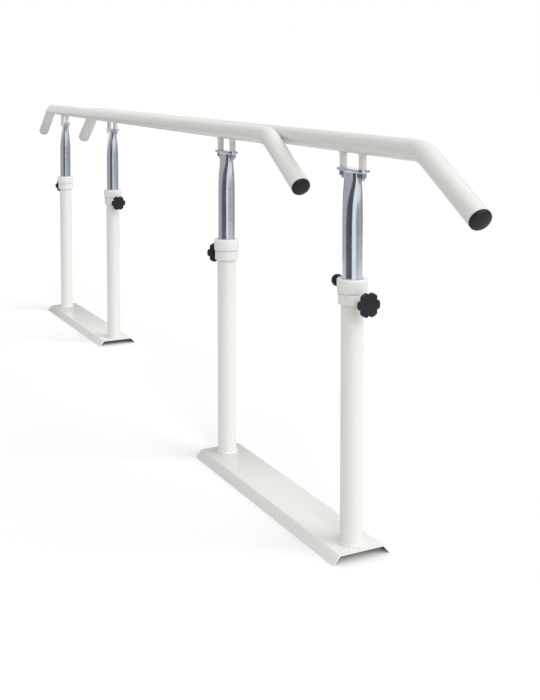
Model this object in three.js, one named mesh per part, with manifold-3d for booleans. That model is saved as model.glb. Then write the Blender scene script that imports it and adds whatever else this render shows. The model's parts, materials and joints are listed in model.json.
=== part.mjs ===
// Folding parallel bars for walking practice, in millimetres, +Z up, standing on z = 0.
// The rails run along X with their near ends at +X, and the set is modelled folded: the four
// uprights are the corners of a parallelogram that has been swung almost shut.
import * as THREE from 'three';
import { mergeVertices } from 'three/addons/utils/BufferGeometryUtils.js';
import Module from 'manifold-3d';

const wasm = await Module();
wasm.setup();

// Driving dimensions of the linkage
const RAIL_LENGTH = 3000; // tip to tip, without the plugs' domes
const POST_SPACING = 2040; // between the two uprights under one rail
const BASE_SPACING = 650; // between the two uprights on one base
const FOLDED_CLEARANCE = 2; // between the two rails when the set is folded
const EXTENSION = 234; // from the bushings up to the straps, as the height is set

// Tubes: the inner one slides in the outer one with some play
const RAIL = { radius: 22.5, wall: 2 };
const INNER = { radius: 22.5, wall: 2, length: 592 };
const OUTER = { wall: 2, play: 0.8 };

// Clearances: between fixed pieces that sit in one another, and for what slides or turns.
// A cut runs past its piece by the overrun.
const SEAT_GAP = 0.3;
const RUNNING_GAP = 0.5;
const OVERRUN = 1;

// Base plate: a sheet folded into a low channel, with a weld bead round each tube on it
const BASE = { height: 20, halfTop: 56, skirt: 18, sheet: 3, bend: 6, overhang: 45 };
const WELD = { width: 4.5, height: 6 };

// Head of the outer tube, and the sleeve that guides the inner tube's foot
const COLLAR = { bottom: 552, height: 24, wall: 6, chamfer: 1 };
const BUSHING = { height: 32, wall: 8.8, lid: 5, edge: 3 };
const SLEEVE = { head: 10, spigot: 35, wall: 4 };

// Squeezed top of the inner tube: across the rail it goes from round down to a flat oval
const SQUEEZE = { length: 125, flat: 12, halfWidth: 12, stations: 4 };

// Strap on the inner tube, and the rail's two posts that stand on it
const STRAP = { thickness: 6, halfWidth: 15 };
const RAIL_POST = { radius: 8.5, offset: 45, height: 33, flare: 4.5, flareHeight: 7 };

// Fasteners, ISO metric M10
const M10 = { radius: 5, washerRadius: 10, washer: 2, nutFlats: 17, nut: 10, nutChamfer: 1.2, standout: 6 };

// Rail ends: the last leg slopes down to the plug
const RAIL_END = { drop: 108, slope: THREE.MathUtils.degToRad(30), bend: 110, steps: 3 };
const PLUG = { spigot: 25, rim: 3, dome: 12, steps: 3 };

// Clamp on each collar: boss, then the knob's hub and disc, and how deep the screw sits in the knob
const CLAMP = { boss: 9, bossReach: 12.5, hubGap: 4, hub: 11, hubLength: 14, disc: 10.5, grip: 19 };
const STAR = { radius: 27.5, notch: 5, sharpness: 4, lobes: 6, edge: 2.2, crown: 3.5, crownInset: 5.25 };
const PAD_LENGTH = 3.5;

// Sprung plunger in the near right upright
const PIN = { nose: 5, noseLength: 5, chamfer: 1, stem: 3, play: 0.4 };
const PLUNGER = { rise: 17, wall: 2.1, flange: 2.5, head: 18, lid: 3 };
const SPRING = { turns: 5, wire: 0.5 };
const ROUND_KNOB = { gap: 4, length: 15, radius: 14, grip: 8.5 };
const ROUND_KNOB_SHARES = [[0.6, 0], [0.93, 0.2], [1, 0.46], [0.93, 0.77], [0.6, 0.95]];

// Facets around a tube, a fastener, a round knob and a nut, and along a lobe or a turn
const TUBE_SIDES = 18;
const SMALL_SIDES = 12;
const KNOB_SIDES = 16;
const NUT_SIDES = 6;
const LOBE_STEPS = 6;
const TURN_STEPS = 8;

// Radii that follow from the driving ones
const OUTER_BORE = INNER.radius + OUTER.play;
const OUTER_RADIUS = OUTER_BORE + OUTER.wall;
const INNER_BORE = INNER.radius - INNER.wall;
const RAIL_BORE = RAIL.radius - RAIL.wall;
const COLLAR_RADIUS = OUTER_RADIUS + SEAT_GAP + COLLAR.wall;
const BUSHING_RADIUS = OUTER_RADIUS + SEAT_GAP + BUSHING.wall;
const SCREW_HOLE = M10.radius + SEAT_GAP;
const CAVITY = PIN.nose + PIN.play;
const STEM_HOLE = PIN.stem + SEAT_GAP;

// Heights above the floor
const COLLAR_TOP = COLLAR.bottom + COLLAR.height;
const BUSHING_TOP = COLLAR_TOP + BUSHING.height;
const TUBE_TOP = BUSHING_TOP - BUSHING.lid - SEAT_GAP;
const STRAP_BOTTOM = BUSHING_TOP + EXTENSION;
const STRAP_TOP = STRAP_BOTTOM + STRAP.thickness;
const TUBE_FOOT = STRAP_BOTTOM - INNER.length;
const RAIL_HEIGHT = STRAP_TOP + RAIL_POST.height + RAIL.radius;
const CLAMP_HEIGHT = COLLAR.bottom + CLAMP.boss;
const PLUNGER_HEIGHT = COLLAR_TOP + PLUNGER.rise;

// Distances out from an upright's axis
const BOSS_END = COLLAR_RADIUS + CLAMP.bossReach;
const HUB_START = BOSS_END + CLAMP.hubGap;
const HUB_END = HUB_START + CLAMP.hubLength;
const STAR_END = HUB_END + CLAMP.disc;
const PAD_START = INNER.radius + SEAT_GAP;
const SCREW_END = HUB_START + CLAMP.grip;
const NOSE_START = INNER.radius + RUNNING_GAP;
const NOSE_END = NOSE_START + PIN.noseLength;
const HEAD_START = BUSHING_RADIUS + SEAT_GAP;
const HEAD_END = HEAD_START + PLUNGER.head;
const KNOB_START = HEAD_END + ROUND_KNOB.gap;
const STEM_END = KNOB_START + ROUND_KNOB.grip;

// The folded parallelogram
const FOLDED_GAP = 2 * RAIL.radius + FOLDED_CLEARANCE;
const FOLD_ANGLE = Math.asin(FOLDED_GAP / BASE_SPACING);
const SWING = Math.PI / 2 - FOLD_ANGLE;
const BASE_REACH = BASE_SPACING * Math.cos(FOLD_ANGLE);
const NEAR_RIGHT_X = (POST_SPACING + BASE_REACH) / 2;

const MATERIALS = {
  paint: new THREE.MeshStandardMaterial({ color: 0xe4e4de, roughness: 0.35, metalness: 0 }),
  nylon: new THREE.MeshStandardMaterial({ color: 0xe6eae9, roughness: 0.5, metalness: 0 }),
  zinc: new THREE.MeshStandardMaterial({ color: 0xb4bdc4, roughness: 0.25, metalness: 1 }),
  black: new THREE.MeshStandardMaterial({ color: 0x2d2c32, roughness: 0.55, metalness: 0 }),
  brass: new THREE.MeshStandardMaterial({ color: 0xb59a54, roughness: 0.35, metalness: 1 }),
  spring: new THREE.MeshStandardMaterial({ color: 0x8b9096, roughness: 0.3, metalness: 1 }),
};

// Where the uprights stand, and which way their knobs face: out from their base's middle.
const UPRIGHTS = {
  near_right: { x: NEAR_RIGHT_X, side: 1, facing: FOLD_ANGLE },
  near_left: { x: NEAR_RIGHT_X - BASE_REACH, side: -1, facing: FOLD_ANGLE + Math.PI },
  far_right: { x: NEAR_RIGHT_X - POST_SPACING, side: 1, facing: FOLD_ANGLE },
  far_left: { x: NEAR_RIGHT_X - POST_SPACING - BASE_REACH, side: -1, facing: FOLD_ANGLE + Math.PI },
};

// A solid from a closed geometry, with its faces turned outwards.
function solidOf(geometry) {
  const bare = geometry.clone();
  bare.deleteAttribute('normal');
  bare.deleteAttribute('uv');
  const merged = mergeVertices(bare, 1e-4);
  const points = merged.attributes.position.array;
  const corners = Uint32Array.from(merged.index.array);
  const a = new THREE.Vector3();
  const b = new THREE.Vector3();
  const c = new THREE.Vector3();
  let volume = 0;
  for (let i = 0; i < corners.length; i += 3) {
    a.fromArray(points, corners[i] * 3);
    b.fromArray(points, corners[i + 1] * 3);
    c.fromArray(points, corners[i + 2] * 3);
    volume += a.dot(b.cross(c));
  }
  if (volume < 0) {
    for (let i = 0; i < corners.length; i += 3) {
      [corners[i + 1], corners[i + 2]] = [corners[i + 2], corners[i + 1]];
    }
  }
  return new wasm.Manifold(new wasm.Mesh({ numProp: 3, vertProperties: points, triVerts: corners }));
}

function meshOf(name, solid, material) {
  const result = solid.getMesh();
  const geometry = new THREE.BufferGeometry();
  geometry.setAttribute('position', new THREE.BufferAttribute(result.vertProperties, 3));
  geometry.setIndex(new THREE.BufferAttribute(result.triVerts, 1));
  const flat = geometry.toNonIndexed();
  flat.computeVertexNormals();
  const mesh = new THREE.Mesh(flat, material);
  mesh.name = name;
  return mesh;
}

// A solid turned about Z from a closed profile of [radius, height] points.
function turned(profile, sides = TUBE_SIDES) {
  const onAxis = profile[0][0] === 0;
  const closed = onAxis ? profile : [...profile, profile[0]];
  const points = closed.map(([radius, height]) => new THREE.Vector2(radius, height));
  return solidOf(new THREE.LatheGeometry(points, sides).rotateX(Math.PI / 2));
}

// The same, about the X axis: [radius, distance along X].
function turnedAlongX(profile, sides = SMALL_SIDES) {
  return turned(profile, sides).rotate([0, 90, 0]);
}

function rod(radius, from, to, sides = SMALL_SIDES) {
  return turned([[0, from], [radius, from], [radius, to], [0, to]], sides);
}

function rodAlongX(radius, from, to, sides = SMALL_SIDES) {
  return rod(radius, from, to, sides).rotate([0, 90, 0]);
}

// A closed solid through a row of rings with the same number of points, with flat ends.
function loft(rings) {
  const sides = rings[0].length;
  const points = rings.flat().flatMap((p) => [p.x, p.y, p.z]);
  const corners = [];
  for (let ring = 0; ring < rings.length - 1; ring += 1) {
    for (let i = 0; i < sides; i += 1) {
      const here = ring * sides + i;
      const next = ring * sides + (i + 1) % sides;
      corners.push(here, next, here + sides, next, next + sides, here + sides);
    }
  }
  const last = (rings.length - 1) * sides;
  for (let i = 1; i < sides - 1; i += 1) {
    corners.push(0, i + 1, i, last, last + i, last + i + 1);
  }
  const geometry = new THREE.BufferGeometry();
  geometry.setAttribute('position', new THREE.Float32BufferAttribute(points, 3));
  geometry.setIndex(corners);
  return solidOf(geometry);
}

// Turns a solid to an upright's facing and sets it on that upright's axis.
function atUpright(solid, upright) {
  const degrees = THREE.MathUtils.radToDeg(upright.facing);
  return solid.rotate([0, 0, degrees]).translate([upright.x, upright.side * FOLDED_GAP / 2, 0]);
}

// Sets a solid that keeps to the rail's direction on an upright's axis.
function underRail(solid, upright) {
  return solid.translate([upright.x, upright.side * FOLDED_GAP / 2, 0]);
}

// Replaces the corner of an outline by an arc.
function roundedCorner(before, corner, after, radius, steps = 4) {
  const back = before.clone().sub(corner).normalize();
  const ahead = after.clone().sub(corner).normalize();
  const half = Math.acos(back.dot(ahead)) / 2;
  const centre = back.clone().add(ahead).normalize().multiplyScalar(radius / Math.sin(half)).add(corner);
  const start = corner.clone().addScaledVector(back, radius / Math.tan(half)).sub(centre);
  const end = corner.clone().addScaledVector(ahead, radius / Math.tan(half)).sub(centre);
  const sweep = Math.atan2(start.cross(end), start.dot(end));
  const arc = [];
  for (let i = 0; i <= steps; i += 1) {
    arc.push(start.clone().rotateAround(new THREE.Vector2(), sweep * i / steps).add(centre));
  }
  return arc;
}

// Base plate: flat top, two sloping skirts cut level at the floor, open ends.
function basePlate() {
  const halfFoot = BASE.halfTop + BASE.skirt;
  const slope = Math.atan2(BASE.height, BASE.skirt);
  const edge = BASE.sheet / Math.sin(slope);
  const underside = BASE.height - BASE.sheet;
  const innerTop = BASE.halfTop + BASE.skirt * BASE.sheet / BASE.height - edge;
  const point = (x, y) => new THREE.Vector2(x, y);
  const outerCorner = point(BASE.halfTop, BASE.height);
  const innerCorner = point(innerTop, underside);
  const outerBend = roundedCorner(point(halfFoot, 0), outerCorner, point(0, BASE.height), BASE.bend);
  const innerBend = roundedCorner(
    point(halfFoot - edge, 0), innerCorner, point(0, underside), BASE.bend - BASE.sheet);
  const mirror = (p) => point(-p.x, p.y);
  const outside = [point(halfFoot - edge, 0), point(halfFoot, 0), ...outerBend];
  const outline = [
    ...outside, ...outside.map(mirror).toReversed(), ...innerBend.map(mirror), ...innerBend.toReversed()];
  const length = BASE_SPACING + 2 * BASE.overhang;
  const sheet = new THREE.ExtrudeGeometry(new THREE.Shape(outline), { depth: length, bevelEnabled: false });
  return solidOf(sheet).translate([0, 0, -length / 2]).rotate([90, 0, 90]);
}

// Fixed lower tube of an upright, with its weld bead at the foot and the clamp screw's hole.
function outerTube(hasPlunger) {
  const foot = BASE.height;
  let tube = turned([
    [OUTER_BORE, foot], [OUTER_RADIUS + WELD.width, foot], [OUTER_RADIUS, foot + WELD.height],
    [OUTER_RADIUS, TUBE_TOP], [OUTER_BORE, TUBE_TOP]]);
  tube = tube.subtract(rodAlongX(SCREW_HOLE, 0, OUTER_RADIUS + OVERRUN).translate([0, 0, CLAMP_HEIGHT]));
  return hasPlunger ? tube.subtract(plungerHole()) : tube;
}

function plungerHole() {
  const radius = CAVITY + PLUNGER.wall + SEAT_GAP;
  return rodAlongX(radius, -BUSHING_RADIUS - OVERRUN, 0).translate([0, 0, PLUNGER_HEIGHT]);
}

// Collar pressed on the outer tube, with the threaded boss that the clamp screw turns in.
function collar() {
  const bore = OUTER_RADIUS + SEAT_GAP;
  const { bottom, chamfer } = COLLAR;
  const ring = turned([
    [bore, bottom], [COLLAR_RADIUS - chamfer, bottom], [COLLAR_RADIUS, bottom + chamfer],
    [COLLAR_RADIUS, COLLAR_TOP], [bore, COLLAR_TOP]]);
  const midWall = (bore + COLLAR_RADIUS) / 2;
  const boss = rodAlongX(CLAMP.boss, midWall, BOSS_END).translate([0, 0, CLAMP_HEIGHT]);
  const hole = rodAlongX(SCREW_HOLE, 0, BOSS_END + OVERRUN).translate([0, 0, CLAMP_HEIGHT]);
  return ring.add(boss).subtract(hole);
}

// Plastic cap over the outer tube's mouth, whose lid guides the inner tube.
function bushing(hasPlunger) {
  const seat = OUTER_RADIUS + SEAT_GAP;
  const bore = INNER.radius + RUNNING_GAP;
  const ceiling = BUSHING_TOP - BUSHING.lid;
  const edge = BUSHING.edge;
  const midEdge = edge * (1 - Math.SQRT1_2);
  const cap = turned([
    [seat, COLLAR_TOP], [BUSHING_RADIUS, COLLAR_TOP], [BUSHING_RADIUS, BUSHING_TOP - edge],
    [BUSHING_RADIUS - midEdge, BUSHING_TOP - midEdge], [BUSHING_RADIUS - edge, BUSHING_TOP],
    [bore, BUSHING_TOP], [bore, ceiling], [seat, ceiling]]);
  return hasPlunger ? cap.subtract(plungerHole()) : cap;
}

// Sleeve that slides in the outer tube and carries the inner tube on its hollow spigot.
function glideSleeve() {
  const spigot = INNER_BORE - RUNNING_GAP;
  const head = OUTER_BORE - RUNNING_GAP;
  const shoulder = TUBE_FOOT - SEAT_GAP;
  const bore = spigot - SLEEVE.wall;
  return turned([
    [bore, shoulder - SLEEVE.head], [head, shoulder - SLEEVE.head], [head, shoulder], [spigot, shoulder],
    [spigot, TUBE_FOOT + SLEEVE.spigot], [bore, TUBE_FOOT + SLEEVE.spigot]], SMALL_SIDES);
}

// One ring of the inner tube's outline: round, or squeezed into an oval of the same girth.
function squeezedRing(radius, halfWidth, girthRadius, z) {
  const straight = Math.PI / 2 * (girthRadius - (halfWidth + girthRadius - radius));
  const ring = [];
  for (let i = 0; i < TUBE_SIDES; i += 1) {
    const angle = 2 * Math.PI * (i + 0.5) / TUBE_SIDES;
    const x = halfWidth * Math.cos(angle) + Math.sign(Math.cos(angle)) * straight;
    ring.push(new THREE.Vector3(x, halfWidth * Math.sin(angle), z));
  }
  return ring;
}

// The tube's skin at one wall depth, from its foot through the squeeze to the strap.
function tubeSkin(radius, from) {
  const depth = INNER.radius - radius;
  const squeezeEnd = STRAP_BOTTOM - SQUEEZE.flat;
  const squeezeStart = STRAP_BOTTOM - SQUEEZE.length;
  const rings = [squeezedRing(radius, radius, INNER.radius, from)];
  for (let i = 0; i <= SQUEEZE.stations; i += 1) {
    const share = i / SQUEEZE.stations;
    const eased = (1 - Math.cos(Math.PI * share)) / 2;
    const halfWidth = THREE.MathUtils.lerp(INNER.radius, SQUEEZE.halfWidth, eased) - depth;
    const z = THREE.MathUtils.lerp(squeezeStart, squeezeEnd, share);
    rings.push(squeezedRing(radius, halfWidth, INNER.radius, z));
  }
  rings.push(squeezedRing(radius, SQUEEZE.halfWidth - depth, INNER.radius, STRAP_BOTTOM));
  return loft(rings);
}

// Round-ended strap along the rail, with a hole for each stud.
function strap() {
  const reach = RAIL_POST.offset;
  const outline = new THREE.Shape();
  outline.absarc(reach, 0, STRAP.halfWidth, -Math.PI / 2, Math.PI / 2, false);
  outline.absarc(-reach, 0, STRAP.halfWidth, Math.PI / 2, 3 * Math.PI / 2, false);
  const options = { depth: STRAP.thickness, bevelEnabled: false, curveSegments: 8 };
  let plate = solidOf(new THREE.ExtrudeGeometry(outline, options)).translate([0, 0, STRAP_BOTTOM]);
  for (const end of [-1, 1]) {
    const hole = rod(M10.radius + RUNNING_GAP, STRAP_BOTTOM - OVERRUN, STRAP_TOP + OVERRUN);
    plate = plate.subtract(hole.translate([end * reach, 0, 0]));
  }
  return plate;
}

// Inner tube with its squeezed top welded under the strap. The one at the plunger has the hole
// that the pin drops into when the set is open, which faces -Y while it is folded.
function innerTube(hasPlunger) {
  const bore = tubeSkin(INNER_BORE, TUBE_FOOT - OVERRUN);
  let tube = tubeSkin(INNER.radius, TUBE_FOOT).subtract(bore).add(strap());
  if (hasPlunger) {
    const hole = rodAlongX(PIN.nose + SEAT_GAP, 0, INNER.radius + OVERRUN).rotate([0, 0, -90]);
    tube = tube.subtract(hole.translate([0, 0, PLUNGER_HEIGHT]));
  }
  return tube;
}

// Stations along one rail's centre line, from tip to tip, as [x, z, slope of the tangent].
function railStations() {
  const tip = RAIL_LENGTH / 2;
  const cornerX = tip - RAIL_END.drop / Math.tan(RAIL_END.slope);
  const tangent = RAIL_END.bend * Math.tan(RAIL_END.slope / 2);
  const steps = RAIL_END.steps;
  const half = [[tip, RAIL_HEIGHT - RAIL_END.drop, -RAIL_END.slope]];
  for (let i = 0; i <= steps; i += 1) {
    const slope = RAIL_END.slope * (1 - i / steps);
    const x = cornerX - tangent + RAIL_END.bend * Math.sin(slope);
    half.push([x, RAIL_HEIGHT - RAIL_END.bend * (1 - Math.cos(slope)), -slope]);
  }
  const farHalf = half.map(([x, z, slope]) => [-x, z, -slope]);
  return [...farHalf, ...half.reverse()];
}

function railSkin(radius, stretch) {
  const stations = railStations();
  return loft(stations.map(([x, z, slope], index) => {
    const outward = index === 0 ? -stretch : (index === stations.length - 1) * stretch;
    const ring = [];
    for (let i = 0; i < TUBE_SIDES; i += 1) {
      const angle = 2 * Math.PI * (i + 0.5) / TUBE_SIDES;
      const up = radius * Math.cos(angle);
      ring.push(new THREE.Vector3(
        x - up * Math.sin(slope) + outward * Math.cos(slope),
        radius * Math.sin(angle),
        z + up * Math.cos(slope) + outward * Math.sin(slope)));
    }
    return ring;
  }));
}

// White post under the rail with its flared weld above and its threaded stud below.
function railPost() {
  const weldRadius = RAIL_POST.radius + RAIL_POST.flare;
  const weldBottom = RAIL_HEIGHT - RAIL.radius - RAIL_POST.flare;
  const insideBore = RAIL_HEIGHT - Math.sqrt(RAIL_BORE ** 2 - weldRadius ** 2) + OVERRUN;
  const studEnd = STRAP_BOTTOM - M10.washer - M10.nut - M10.standout;
  return turned([
    [0, studEnd], [M10.radius, studEnd], [M10.radius, STRAP_TOP],
    [RAIL_POST.radius, STRAP_TOP], [RAIL_POST.radius, weldBottom],
    [weldRadius, weldBottom + RAIL_POST.flareHeight], [weldRadius, insideBore], [0, insideBore]],
    SMALL_SIDES);
}

function handrail() {
  let rail = railSkin(RAIL.radius, 0);
  for (const post of [-1, 1]) {
    for (const end of [-1, 1]) {
      const x = post * POST_SPACING / 2 + end * RAIL_POST.offset;
      rail = rail.add(railPost().translate([x, 0, 0]));
    }
  }
  return rail.subtract(railSkin(RAIL_BORE, OVERRUN));
}

// Domed plug along +X, its head against the rail's cut end at x = 0.
function endPlug() {
  const spigot = RAIL_BORE - RUNNING_GAP;
  const dome = [];
  for (let i = 0; i <= PLUG.steps; i += 1) {
    const angle = Math.PI / 2 * i / PLUG.steps;
    const radius = i === PLUG.steps ? 0 : RAIL.radius * Math.cos(angle);
    dome.push([radius, THREE.MathUtils.lerp(PLUG.rim, PLUG.dome, Math.sin(angle))]);
  }
  return turnedAlongX([
    [0, -PLUG.spigot], [spigot, -PLUG.spigot], [spigot, SEAT_GAP], [RAIL.radius, SEAT_GAP], ...dome],
    TUBE_SIDES);
}

function washer() {
  const top = STRAP_BOTTOM;
  const bottom = top - M10.washer;
  return turned([
    [SCREW_HOLE, bottom], [M10.washerRadius, bottom], [M10.washerRadius, top], [SCREW_HOLE, top]],
    SMALL_SIDES);
}

// Hexagon nut with its corners chamfered on the lower side.
function nut() {
  const top = STRAP_BOTTOM - M10.washer;
  const bottom = top - M10.nut;
  const cornerRadius = M10.nutFlats / Math.sqrt(3);
  const outside = cornerRadius + OVERRUN;
  const hexagon = rod(cornerRadius, bottom, top, NUT_SIDES);
  const cone = turned([
    [0, bottom], [M10.nutFlats / 2, bottom], [outside, bottom + M10.nutChamfer], [outside, top], [0, top]],
    SMALL_SIDES);
  return hexagon.intersect(cone).subtract(rod(SCREW_HOLE, bottom - OVERRUN, top + OVERRUN));
}

// Star knob: six lobes on a round hub, with a blind hole for the screw.
function starKnob() {
  const count = STAR.lobes * LOBE_STEPS;
  const ring = (inset, distance) => {
    const points = [];
    for (let i = 0; i < count; i += 1) {
      const angle = 2 * Math.PI * i / count;
      const notch = ((1 - Math.cos(STAR.lobes * angle)) / 2) ** STAR.sharpness;
      const radius = STAR.radius - inset - STAR.notch * notch;
      points.push(new THREE.Vector3(distance, radius * Math.cos(angle), radius * Math.sin(angle)));
    }
    return points;
  };
  const disc = loft([
    ring(STAR.edge, HUB_END), ring(0, HUB_END + STAR.edge), ring(0, STAR_END - STAR.crown),
    ring(STAR.crownInset, STAR_END)]);
  const hub = rodAlongX(CLAMP.hub, HUB_START, HUB_END + STAR.edge);
  const hole = rodAlongX(SCREW_HOLE, HUB_START - OVERRUN, SCREW_END + SEAT_GAP);
  return disc.add(hub).subtract(hole).translate([0, 0, CLAMP_HEIGHT]);
}

function pressurePad() {
  const radius = SCREW_HOLE - 2 * SEAT_GAP;
  return rodAlongX(radius, PAD_START, PAD_START + PAD_LENGTH).translate([0, 0, CLAMP_HEIGHT]);
}

function clampScrew() {
  const start = PAD_START + PAD_LENGTH + SEAT_GAP;
  return rodAlongX(M10.radius, start, SCREW_END).translate([0, 0, CLAMP_HEIGHT]);
}

// The plunger's pieces lie along -X from the upright's axis.
function alongPlunger(solid) {
  return solid.rotate([0, 0, 180]).translate([0, 0, PLUNGER_HEIGHT]);
}

function plungerBody() {
  const start = OUTER_BORE + 2 * SEAT_GAP;
  const thread = CAVITY + PLUNGER.wall;
  const head = thread + PLUNGER.flange;
  const lid = HEAD_END - PLUNGER.lid;
  return alongPlunger(turnedAlongX([
    [CAVITY, start], [thread, start], [thread, HEAD_START], [head, HEAD_START],
    [head, HEAD_END], [STEM_HOLE, HEAD_END], [STEM_HOLE, lid], [CAVITY, lid]]));
}

function plungerPin() {
  const { nose, stem, chamfer } = PIN;
  return alongPlunger(turnedAlongX([
    [0, NOSE_START], [nose - chamfer, NOSE_START], [nose, NOSE_START + chamfer], [nose, NOSE_END],
    [stem, NOSE_END], [stem, STEM_END], [0, STEM_END]]));
}

function plungerKnob() {
  const { length, radius } = ROUND_KNOB;
  const bottom = STEM_END + SEAT_GAP;
  const outside = ROUND_KNOB_SHARES.map(([wide, along]) => [radius * wide, KNOB_START + length * along]);
  return alongPlunger(turnedAlongX([
    [0, bottom], [STEM_HOLE, bottom], [STEM_HOLE, KNOB_START], ...outside, [0, KNOB_START + length]],
    KNOB_SIDES));
}

class Helix extends THREE.Curve {
  constructor(radius, start, end, turns) {
    super();
    Object.assign(this, { radius, start, end, turns });
  }

  getPoint(t, target = new THREE.Vector3()) {
    const angle = 2 * Math.PI * this.turns * t;
    const along = THREE.MathUtils.lerp(this.start, this.end, t);
    return target.set(along, this.radius * Math.cos(angle), this.radius * Math.sin(angle));
  }
}

function plungerSpring() {
  const margin = SPRING.wire + SEAT_GAP;
  const end = HEAD_END - PLUNGER.lid - margin;
  const path = new Helix((PIN.stem + CAVITY) / 2, NOSE_END + margin, end, SPRING.turns);
  const section = new THREE.Shape().absarc(0, 0, SPRING.wire, 0, 2 * Math.PI, false);
  const steps = SPRING.turns * TURN_STEPS;
  const options = { steps, extrudePath: path, curveSegments: 3, bevelEnabled: false };
  return alongPlunger(solidOf(new THREE.ExtrudeGeometry(section, options)));
}

const bars = new THREE.Group();

// Both bases, each halfway between its two uprights
const nearMiddle = NEAR_RIGHT_X - BASE_REACH / 2;
const baseMiddles = { near: nearMiddle, far: nearMiddle - POST_SPACING };
for (const [end, x] of Object.entries(baseMiddles)) {
  const plate = basePlate().rotate([0, 0, THREE.MathUtils.radToDeg(FOLD_ANGLE)]).translate([x, 0, 0]);
  bars.add(meshOf(`${end}_base_plate`, plate, MATERIALS.paint));
}

// The four uprights, each with its clamp and the fasteners under its strap
for (const [name, upright] of Object.entries(UPRIGHTS)) {
  const hasPlunger = name === 'near_right';
  const fixed = {
    outer_tube: [outerTube(hasPlunger), MATERIALS.paint],
    collar: [collar(), MATERIALS.paint],
    bushing: [bushing(hasPlunger), MATERIALS.nylon],
    clamp_knob: [starKnob(), MATERIALS.black],
    clamp_screw: [clampScrew(), MATERIALS.zinc],
    pressure_pad: [pressurePad(), MATERIALS.brass],
  };
  for (const [piece, [solid, material]] of Object.entries(fixed)) {
    bars.add(meshOf(`${name}_${piece}`, atUpright(solid, upright), material));
  }
  bars.add(meshOf(`${name}_glide_sleeve`, underRail(glideSleeve(), upright), MATERIALS.black));
  bars.add(meshOf(`${name}_inner_tube`, underRail(innerTube(hasPlunger), upright), MATERIALS.zinc));
  for (const [suffix, end] of [['outer', Math.sign(upright.x)], ['inner', -Math.sign(upright.x)]]) {
    const shift = [end * RAIL_POST.offset, 0, 0];
    for (const [piece, solid] of Object.entries({ washer: washer(), nut: nut() })) {
      const placed = underRail(solid.translate(shift), upright);
      bars.add(meshOf(`${name}_${piece}_${suffix}`, placed, MATERIALS.zinc));
    }
  }
}

// The two rails with a plug in each end
for (const side of ['right', 'left']) {
  const near = UPRIGHTS[`near_${side}`];
  const middle = [near.x - POST_SPACING / 2, near.side * FOLDED_GAP / 2, 0];
  bars.add(meshOf(`${side}_rail`, handrail().translate(middle), MATERIALS.paint));
  for (const [end, sign] of [['near', 1], ['far', -1]]) {
    const droop = THREE.MathUtils.radToDeg(RAIL_END.slope);
    const tip = [RAIL_LENGTH / 2, 0, RAIL_HEIGHT - RAIL_END.drop];
    const plug = endPlug().rotate([0, droop, 0]).translate(tip);
    const turnedPlug = sign > 0 ? plug : plug.rotate([0, 0, 180]);
    bars.add(meshOf(`${end}_${side}_end_plug`, turnedPlug.translate(middle), MATERIALS.black));
  }
}

// The plunger on the near right upright
const plungerPieces = {
  body: [plungerBody(), MATERIALS.zinc],
  pin: [plungerPin(), MATERIALS.zinc],
  knob: [plungerKnob(), MATERIALS.black],
  spring: [plungerSpring(), MATERIALS.spring],
};
for (const [piece, [solid, material]] of Object.entries(plungerPieces)) {
  bars.add(meshOf(`plunger_${piece}`, atUpright(solid, UPRIGHTS.near_right), material));
}

const degrees = (radians) => THREE.MathUtils.radToDeg(radians).toFixed(4);
console.log(`folded base angle ${degrees(FOLD_ANGLE)} deg, swing to open ${degrees(SWING)} deg`);

export default bars;
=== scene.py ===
"""Looks of a folding set of walking parallel bars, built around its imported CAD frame.

Everything is in metres, in the frame's own axes: the rails run along X with their near ends at
+X, and the set stands folded on z = 0.
"""

import json
import logging
import math
from collections.abc import Callable, Iterable, Sequence
from dataclasses import dataclass, field
from enum import Enum
from typing import Any

import bmesh
import bpy
from bmesh.types import BMEdge, BMesh, BMVert
from bpy.types import ID, Material, Mesh, Node, NodeSocket, NodeTree, Object
from mathutils import Matrix, Vector


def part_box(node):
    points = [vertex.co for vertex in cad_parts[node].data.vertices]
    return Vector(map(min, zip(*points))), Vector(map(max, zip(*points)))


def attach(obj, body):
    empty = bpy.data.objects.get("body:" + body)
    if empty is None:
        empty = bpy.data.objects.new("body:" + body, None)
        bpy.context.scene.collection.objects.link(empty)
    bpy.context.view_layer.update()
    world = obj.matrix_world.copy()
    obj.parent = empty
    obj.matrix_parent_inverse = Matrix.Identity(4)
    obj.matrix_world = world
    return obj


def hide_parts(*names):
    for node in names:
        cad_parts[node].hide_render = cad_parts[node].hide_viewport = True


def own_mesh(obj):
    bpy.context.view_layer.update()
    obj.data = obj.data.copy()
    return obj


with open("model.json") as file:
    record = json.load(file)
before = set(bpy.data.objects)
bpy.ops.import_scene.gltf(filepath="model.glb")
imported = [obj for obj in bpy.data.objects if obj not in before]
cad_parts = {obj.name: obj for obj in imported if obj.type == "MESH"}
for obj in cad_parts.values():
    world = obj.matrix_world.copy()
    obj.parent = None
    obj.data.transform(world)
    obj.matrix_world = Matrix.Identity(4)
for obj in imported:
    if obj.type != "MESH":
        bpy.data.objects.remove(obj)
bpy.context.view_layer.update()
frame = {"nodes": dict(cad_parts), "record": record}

LOG = logging.getLogger("parallel_bars")

MM = 0.001
TUBE_SIDES = 96
PRESSED_SIDES = 144
SMALL_SIDES = 48
FINE_SIDES = 32
MERGE_DISTANCE = 1e-6
SHARP_ANGLE = math.radians(32)
CUTTER_REACH = 1.2

Profile = Sequence[tuple[float, float]]
Colour = tuple[float, float, float, float]
Sockets = dict[str, NodeSocket]


class Slot(Enum):
    """The record's material slots."""

    PAINT = "powder_coat"
    NYLON = "white_nylon"
    ZINC = "zinc_plate"
    BLACK = "black_plastic"
    BRASS = "brass"
    SPRING = "spring_steel"


class Cut(Enum):
    """How a tool solid changes another."""

    AWAY = "DIFFERENCE"
    TOGETHER = "UNION"
    SHARED = "INTERSECT"


# Mesh tools


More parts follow.
